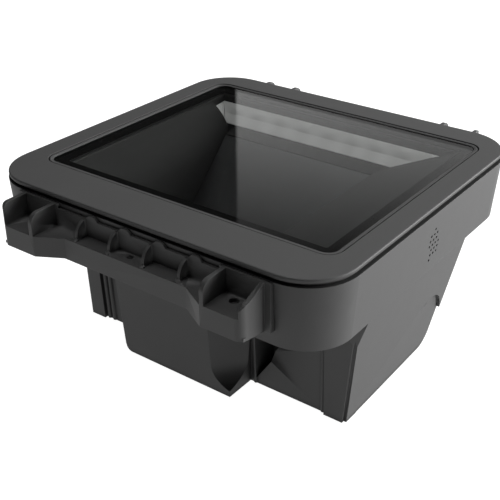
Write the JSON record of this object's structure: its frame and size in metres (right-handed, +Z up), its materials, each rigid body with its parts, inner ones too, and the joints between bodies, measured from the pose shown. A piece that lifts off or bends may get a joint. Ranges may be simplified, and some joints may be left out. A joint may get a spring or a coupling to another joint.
{
  "type": "flatbed barcode scanner",
  "caption": "In-counter flatbed barcode scanner with a square lift-off bezel, a glass scan window, a deep optics housing and mounting brackets front and rear.",
  "frame": {"origin": "centre of the outline box at the flat underside of the lower housing", "axes": "+Z up through the scan window, -Y towards the front bracket, +X towards the wall with the speaker holes"},
  "size_m": [0.1592, 0.1788, 0.0725],
  "materials": {
    "housing_abs": "fine moulded texture, charcoal",
    "bezel_abs": "satin, charcoal",
    "frame_abs": "satin, charcoal",
    "black_border": "black foam tape under glass",
    "seal_rubber": "soft black",
    "window_glass": "polished, clear",
    "hood_plastic": "dull spark-textured black",
    "white_reflector": "white, slightly glossy",
    "mirror_glass": "front-silvered float glass",
    "zinc_steel": "zinc plated",
    "tin_plate": "tin plated sheet",
    "circuit_board": "solder mask over glass-fibre laminate",
    "led_lens": "clear over phosphor",
    "black_anodised": "black anodised",
    "lens_glass": "coated",
    "chip_plastic": "moulded epoxy",
    "socket_plastic": "moulded",
    "cone_film": "pressed film",
    "button_rubber": "moulded grey",
    "ribbon_film": "polyimide film",
    "cable_pvc": "insulated wire"
  },
  "bodies": {
    "housing": {"upper_housing": "housing_abs", "lower_housing": "housing_abs", "front_bracket": "housing_abs", "rear_bracket": "housing_abs", "bracket_screws": "zinc_steel", "housing_screws": "zinc_steel", "cover_seal": "seal_rubber", "optics_chassis": "hood_plastic", "chassis_screws": "zinc_steel", "light_reflector": "white_reflector", "led_board": "circuit_board", "leds": "led_lens", "fold_mirror": "mirror_glass", "mirror_carrier": "hood_plastic", "camera_bracket": "hood_plastic", "lens_barrel": "black_anodised", "lens_glass": "lens_glass", "sensor_board": "circuit_board", "camera_screws": "zinc_steel", "main_board": "circuit_board", "board_chips": "chip_plastic", "shield_can": "tin_plate", "board_screws": "zinc_steel", "connector_board": "circuit_board", "interface_jack": "socket_plastic", "power_jack": "socket_plastic", "speaker_frame": "tin_plate", "speaker_cone": "cone_film", "speaker_magnet": "zinc_steel", "speaker_gasket": "seal_rubber", "button_board": "circuit_board", "button_switch": "socket_plastic", "camera_ribbon": "ribbon_film", "led_cable": "cable_pvc", "speaker_wires": "cable_pvc", "button_cable": "cable_pvc"},
    "top_cover": {"top_cover": "bezel_abs"},
    "window": {"window_frame": "frame_abs", "window_gasket": "black_border", "window_glass": "window_glass"},
    "function_button": {"function_button": "button_rubber"}
  },
  "joints": [
    {"name": "top_cover_lift", "type": "slide", "parent": "housing", "child": "top_cover", "axis": [0, 0, 1], "range_m": [0, 0.03]},
    {"name": "window_lift", "type": "slide", "parent": "top_cover", "child": "window", "axis": [0, 0, 1], "range_m": [0, 0.02]},
    {"name": "function_button_press", "type": "slide", "parent": "housing", "child": "function_button", "axis": [1, 0, 0], "range_m": [0, 0.0008], "stiffness_N_per_m": 400}
  ]
}
